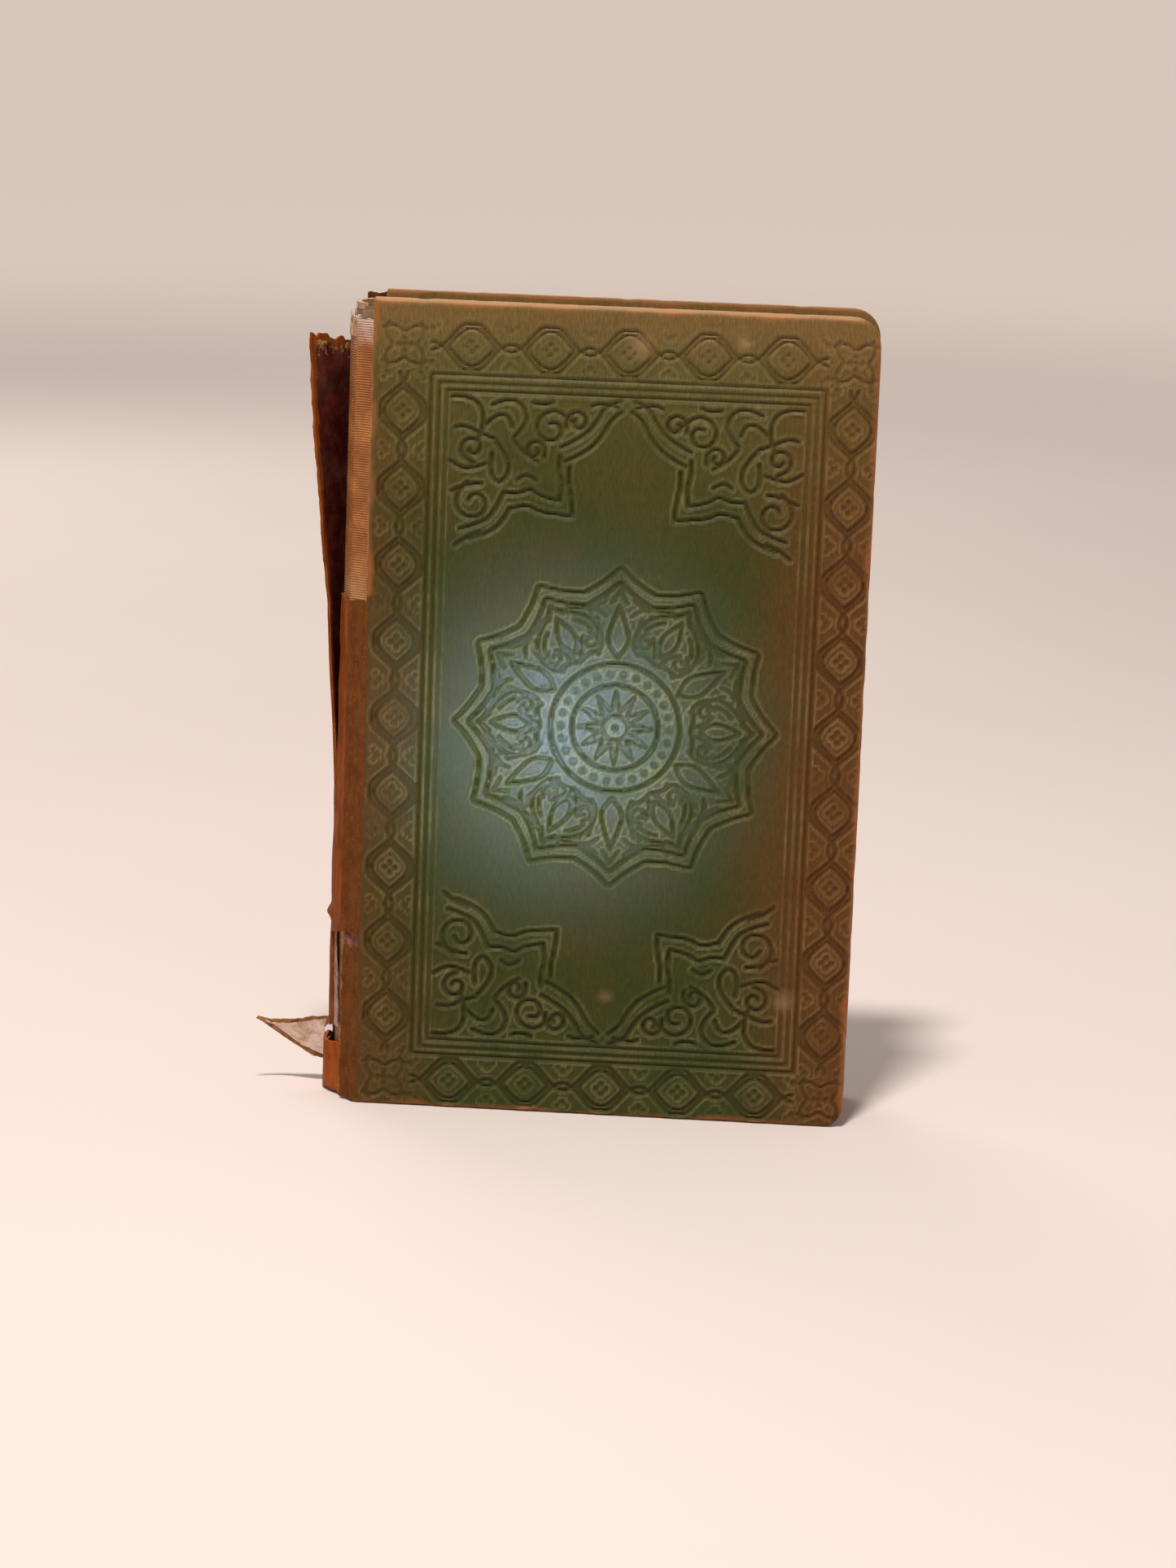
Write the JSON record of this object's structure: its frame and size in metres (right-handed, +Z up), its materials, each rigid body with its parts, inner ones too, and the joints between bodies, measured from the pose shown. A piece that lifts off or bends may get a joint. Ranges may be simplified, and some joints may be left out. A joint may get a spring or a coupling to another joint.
{
  "type": "prayer book",
  "caption": "Small worn prayer book standing upright, with embossed cloth covers that open and torn spine leather.",
  "frame": {"origin": "bottom of the whole book, at the middle of its bounding box, with the book standing on its tail edge", "axes": "+Z up along the book's height, -Y out of the front cover, -X out of the spine, +X out of the fore edge"},
  "size_m": [0.1244, 0.0266, 0.168],
  "materials": {
    "text_paper": "matte, age-toned",
    "end_paper": "matte, foxed",
    "tape": "woven linen",
    "mull": "open weave, glued",
    "lining_paper": "matte, glue-stained",
    "headband": "frayed thread",
    "spine_leather": "worn, half gloss",
    "inlay_paper": "matte, torn",
    "board": "matte",
    "cover_cloth": "embossed, satin"
  },
  "bodies": {
    "text_block": {"gathering_01": "text_paper", "gathering_02": "text_paper", "gathering_03": "text_paper", "gathering_04": "text_paper", "gathering_05": "text_paper", "gathering_06": "text_paper", "gathering_07": "text_paper", "gathering_08": "text_paper", "gathering_09": "text_paper", "gathering_10": "text_paper", "gathering_11": "text_paper", "gathering_12": "text_paper", "gathering_13": "text_paper", "gathering_14": "text_paper", "gathering_15": "text_paper", "gathering_16": "text_paper", "sewing_tapes": "tape", "spine_mull": "mull", "spine_paper_lining": "lining_paper", "headband_head": "headband", "headband_tail": "headband", "spine_leather": "spine_leather", "spine_inlay": "inlay_paper", "near_spine_strip": "spine_leather", "tail_cap": "spine_leather", "tail_cap_lining": "inlay_paper"},
    "front_cover": {"front_board": "board", "front_cover_cloth": "cover_cloth", "front_pastedown": "end_paper", "front_joint_upper": "spine_leather", "front_joint_lower": "spine_leather"},
    "back_cover": {"back_board": "board", "back_cover_cloth": "cover_cloth", "back_pastedown": "end_paper", "back_joint": "spine_leather"},
    "loose_spine": {"loose_spine_leather": "spine_leather", "loose_spine_liner": "inlay_paper"},
    "torn_flap": {"torn_flap_leather": "spine_leather", "torn_flap_paper": "inlay_paper"},
    "front_leaf_01_body": {"front_leaf_01": "end_paper"},
    "front_leaf_02_body": {"front_leaf_02": "end_paper"},
    "front_leaf_03_body": {"front_leaf_03": "end_paper"},
    "front_leaf_04_body": {"front_leaf_04": "end_paper"},
    "front_leaf_05_body": {"front_leaf_05": "end_paper"},
    "front_leaf_06_body": {"front_leaf_06": "end_paper"},
    "back_leaf_01_body": {"back_leaf_01": "end_paper"},
    "back_leaf_02_body": {"back_leaf_02": "end_paper"},
    "back_leaf_03_body": {"back_leaf_03": "end_paper"},
    "back_leaf_04_body": {"back_leaf_04": "end_paper"}
  },
  "joints": [
    {"name": "front_cover_hinge", "type": "hinge", "parent": "text_block", "child": "front_cover", "pos_m": [-0.04325, -0.0103, 0.084], "axis": [0, 0, -1], "range_deg": [0, 175]},
    {"name": "back_cover_hinge", "type": "hinge", "parent": "text_block", "child": "back_cover", "pos_m": [-0.04325, 0.0103, 0.084], "axis": [0, 0, 1], "range_deg": [0, 150]},
    {"name": "loose_spine_swing", "type": "hinge", "parent": "text_block", "child": "loose_spine", "pos_m": [-0.04325, 0.0103, 0.159], "axis": [0, 0, -1], "range_deg": [0, 25]},
    {"name": "torn_flap_swing", "type": "hinge", "parent": "text_block", "child": "torn_flap", "pos_m": [-0.04826, 0.0015, 0.0142], "axis": [0, 0, -1], "range_deg": [-15, 20]},
    {"name": "front_leaf_01_turn", "type": "hinge", "parent": "text_block", "child": "front_leaf_01_body", "pos_m": [-0.04325, -0.0103, 0.084], "axis": [0, 0, -1], "range_deg": [0, 151]},
    {"name": "front_leaf_02_turn", "type": "hinge", "parent": "text_block", "child": "front_leaf_02_body", "pos_m": [-0.04325, -0.0103, 0.084], "axis": [0, 0, -1], "range_deg": [0, 125.92]},
    {"name": "front_leaf_03_turn", "type": "hinge", "parent": "text_block", "child": "front_leaf_03_body", "pos_m": [-0.04325, -0.0103, 0.084], "axis": [0, 0, -1], "range_deg": [0, 100.83]},
    {"name": "front_leaf_04_turn", "type": "hinge", "parent": "text_block", "child": "front_leaf_04_body", "pos_m": [-0.04325, -0.0103, 0.084], "axis": [0, 0, -1], "range_deg": [0, 75.75]},
    {"name": "front_leaf_05_turn", "type": "hinge", "parent": "text_block", "child": "front_leaf_05_body", "pos_m": [-0.04325, -0.0103, 0.084], "axis": [0, 0, -1], "range_deg": [0, 50.67]},
    {"name": "front_leaf_06_turn", "type": "hinge", "parent": "text_block", "child": "front_leaf_06_body", "pos_m": [-0.04325, -0.0103, 0.084], "axis": [0, 0, -1], "range_deg": [0, 25.58]},
    {"name": "back_leaf_01_turn", "type": "hinge", "parent": "text_block", "child": "back_leaf_01_body", "pos_m": [-0.04325, 0.0103, 0.084], "axis": [0, 0, 1], "range_deg": [0, 126.5]},
    {"name": "back_leaf_02_turn", "type": "hinge", "parent": "text_block", "child": "back_leaf_02_body", "pos_m": [-0.04325, 0.0103, 0.084], "axis": [0, 0, 1], "range_deg": [0, 95]},
    {"name": "back_leaf_03_turn", "type": "hinge", "parent": "text_block", "child": "back_leaf_03_body", "pos_m": [-0.04325, 0.0103, 0.084], "axis": [0, 0, 1], "range_deg": [0, 63.5]},
    {"name": "back_leaf_04_turn", "type": "hinge", "parent": "text_block", "child": "back_leaf_04_body", "pos_m": [-0.04325, 0.0103, 0.084], "axis": [0, 0, 1], "range_deg": [0, 32]}
  ],
  "couplings": [
    {"joint": "front_leaf_01_turn", "follows": "front_cover_hinge", "ratio": 0.86},
    {"joint": "front_leaf_02_turn", "follows": "front_cover_hinge", "ratio": 0.7167},
    {"joint": "front_leaf_03_turn", "follows": "front_cover_hinge", "ratio": 0.5733},
    {"joint": "front_leaf_04_turn", "follows": "front_cover_hinge", "ratio": 0.43},
    {"joint": "front_leaf_05_turn", "follows": "front_cover_hinge", "ratio": 0.2867},
    {"joint": "front_leaf_06_turn", "follows": "front_cover_hinge", "ratio": 0.1433},
    {"joint": "back_leaf_01_turn", "follows": "back_cover_hinge", "ratio": 0.84},
    {"joint": "back_leaf_02_turn", "follows": "back_cover_hinge", "ratio": 0.63},
    {"joint": "back_leaf_03_turn", "follows": "back_cover_hinge", "ratio": 0.42},
    {"joint": "back_leaf_04_turn", "follows": "back_cover_hinge", "ratio": 0.21}
  ]
}
